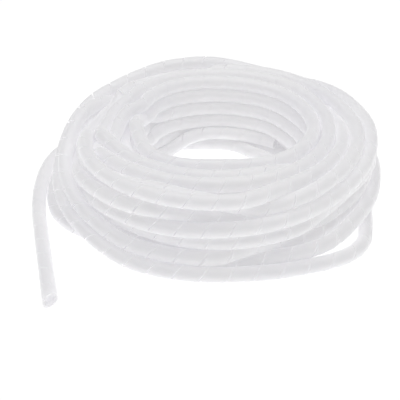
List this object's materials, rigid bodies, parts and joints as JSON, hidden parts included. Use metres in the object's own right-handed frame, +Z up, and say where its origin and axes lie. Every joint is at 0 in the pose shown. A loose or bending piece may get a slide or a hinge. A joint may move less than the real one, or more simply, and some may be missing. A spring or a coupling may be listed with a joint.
{
  "type": "spiral cable wrap",
  "caption": "Loose flat-lying coil of helically slit translucent plastic tube for bundling cables, with one free end beside it.",
  "frame": {"origin": "on the floor, at the centre of the footprint of the coil and its free end together", "axes": "+Z up, along the coil's axis; -Y towards the side that the free end runs out past; the free end lies on the coil's -X side"},
  "size_m": [0.1496, 0.1558, 0.0343],
  "materials": {
    "milky_plastic": "natural polyethylene: translucent milky white with a soft satin sheen"
  },
  "bodies": {
    "root": {"wound_coil": "milky_plastic", "free_end": "milky_plastic"}
  },
  "joints": []
}
